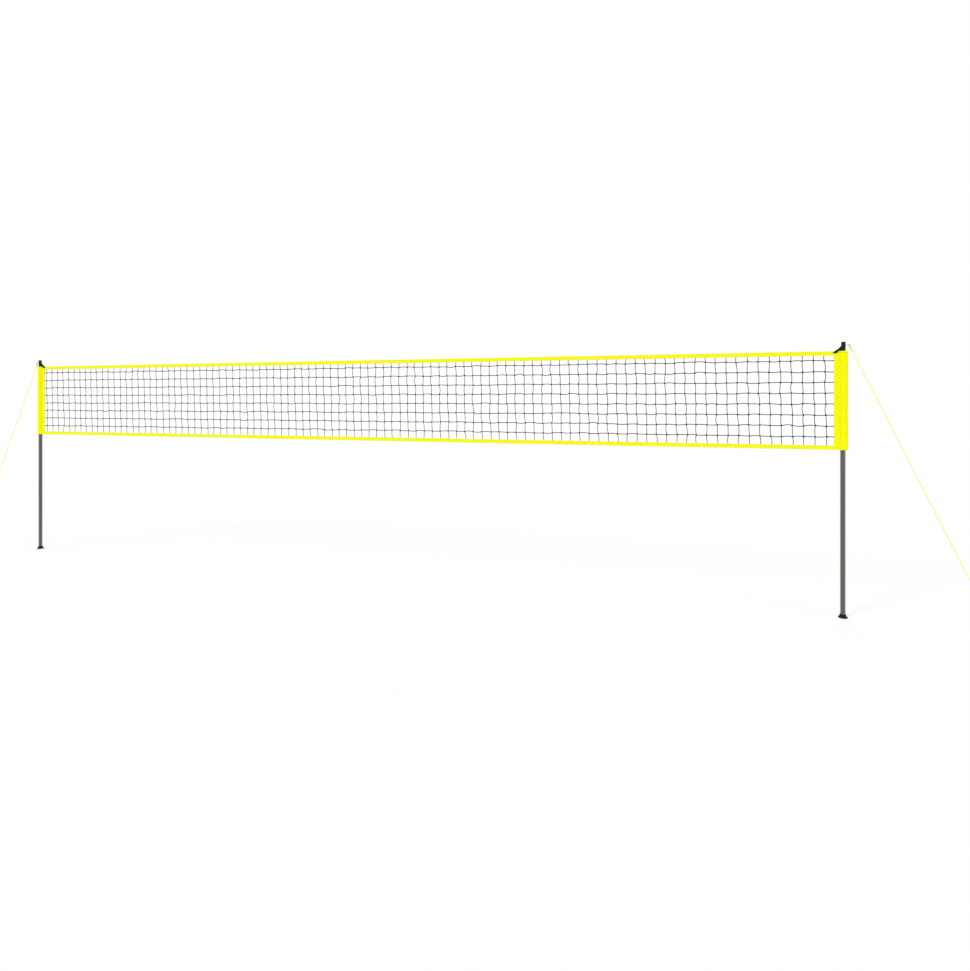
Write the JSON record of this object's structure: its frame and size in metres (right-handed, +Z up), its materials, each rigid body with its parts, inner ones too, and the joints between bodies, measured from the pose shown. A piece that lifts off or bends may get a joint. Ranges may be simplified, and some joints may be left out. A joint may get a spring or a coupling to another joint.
{
  "type": "volleyball net on poles",
  "caption": "Volleyball net with yellow tapes and side sleeves between two telescopic steel poles, with twist locks, black top horns and yellow guy ropes to ground plates.",
  "frame": {"origin": "on the ground midway between the two poles", "axes": "+X along the net to the right as seen from the front, +Z up, the net in the plane Y = 0"},
  "size_m": [12.125, 0.08, 2.535],
  "materials": {
    "pole_steel": "satin",
    "inner_steel": "satin",
    "zinc_steel": "satin",
    "spring_steel": "satin",
    "black_plastic": "matte",
    "foot_rubber": "matte",
    "nylon": "matte",
    "sleeve_cloth": "matte",
    "tape_cloth": "matte",
    "net_twine": "matte",
    "net_cord": "matte",
    "guy_rope": "matte"
  },
  "bodies": {
    "left_pole": {"left_foot": "foot_rubber", "left_lower_tube": "pole_steel", "left_spigot": "inner_steel", "left_middle_tube": "pole_steel", "left_snap_spring": "spring_steel", "left_lock_base": "black_plastic", "left_lock_collet": "nylon", "left_guy_rope": "guy_rope", "left_guy_tail": "guy_rope", "left_ground_plate": "zinc_steel"},
    "net_frame": {"left_guide_bush": "nylon", "left_upper_tube": "pole_steel", "left_top_cap": "black_plastic", "left_eye_bolt": "zinc_steel", "left_eye_nut": "zinc_steel", "left_link": "zinc_steel", "left_top_knot": "guy_rope", "left_sleeve": "sleeve_cloth", "right_guide_bush": "nylon", "right_upper_tube": "pole_steel", "right_top_cap": "black_plastic", "right_eye_bolt": "zinc_steel", "right_eye_nut": "zinc_steel", "right_link": "zinc_steel", "right_top_knot": "guy_rope", "right_sleeve": "sleeve_cloth", "net_mesh": "net_twine", "top_tape": "tape_cloth", "bottom_tape": "tape_cloth", "top_cord": "net_cord", "bottom_cord": "net_cord"},
    "right_pole": {"right_foot": "foot_rubber", "right_lower_tube": "pole_steel", "right_spigot": "inner_steel", "right_middle_tube": "pole_steel", "right_snap_spring": "spring_steel", "right_lock_base": "black_plastic", "right_lock_collet": "nylon", "right_guy_rope": "guy_rope", "right_guy_tail": "guy_rope", "right_ground_plate": "zinc_steel"},
    "left_collar": {"left_lock_collar": "black_plastic"},
    "right_collar": {"right_lock_collar": "black_plastic"},
    "left_button": {"left_snap_button": "zinc_steel"},
    "right_button": {"right_snap_button": "zinc_steel"},
    "left_tensioner": {"left_tensioner": "black_plastic", "left_tail_knot": "guy_rope"},
    "right_tensioner": {"right_tensioner": "black_plastic", "right_tail_knot": "guy_rope"}
  },
  "joints": [
    {"name": "net_height", "type": "slide", "parent": "left_pole", "child": "net_frame", "axis": [0, 0, 1], "range_m": [-0.19, 0], "deforming": ["left_guy_rope"]},
    {"name": "right_pole_height", "type": "slide", "parent": "net_frame", "child": "right_pole", "axis": [0, 0, 1], "range_m": [0, 0.19], "deforming": ["right_guy_rope"]},
    {"name": "left_collar_turn", "type": "hinge", "parent": "left_pole", "child": "left_collar", "pos_m": [-4.832, 0, 1.7], "axis": [0, 0, 1], "range_deg": [0, 90]},
    {"name": "left_button_press", "type": "slide", "parent": "left_pole", "child": "left_button", "axis": [0, -1, 0], "range_m": [0, 0.0046], "stiffness_N_per_m": 900, "springref_m": -0.003, "deforming": ["left_snap_spring"]},
    {"name": "left_tensioner_slide", "type": "slide", "parent": "left_pole", "child": "left_tensioner", "axis": [0.4104, 0, 0.9119], "range_m": [0, 0.15], "deforming": ["left_guy_tail"]},
    {"name": "right_collar_turn", "type": "hinge", "parent": "right_pole", "child": "right_collar", "pos_m": [4.832, 0, 1.7], "axis": [0, 0, 1], "range_deg": [0, 90]},
    {"name": "right_button_press", "type": "slide", "parent": "right_pole", "child": "right_button", "axis": [0, -1, 0], "range_m": [0, 0.0046], "stiffness_N_per_m": 900, "springref_m": -0.003, "deforming": ["right_snap_spring"]},
    {"name": "right_tensioner_slide", "type": "slide", "parent": "right_pole", "child": "right_tensioner", "axis": [-0.4104, 0, 0.9119], "range_m": [0, 0.15], "deforming": ["right_guy_tail"]}
  ],
  "couplings": [
    {"joint": "right_pole_height", "follows": "net_height", "ratio": -1}
  ]
}
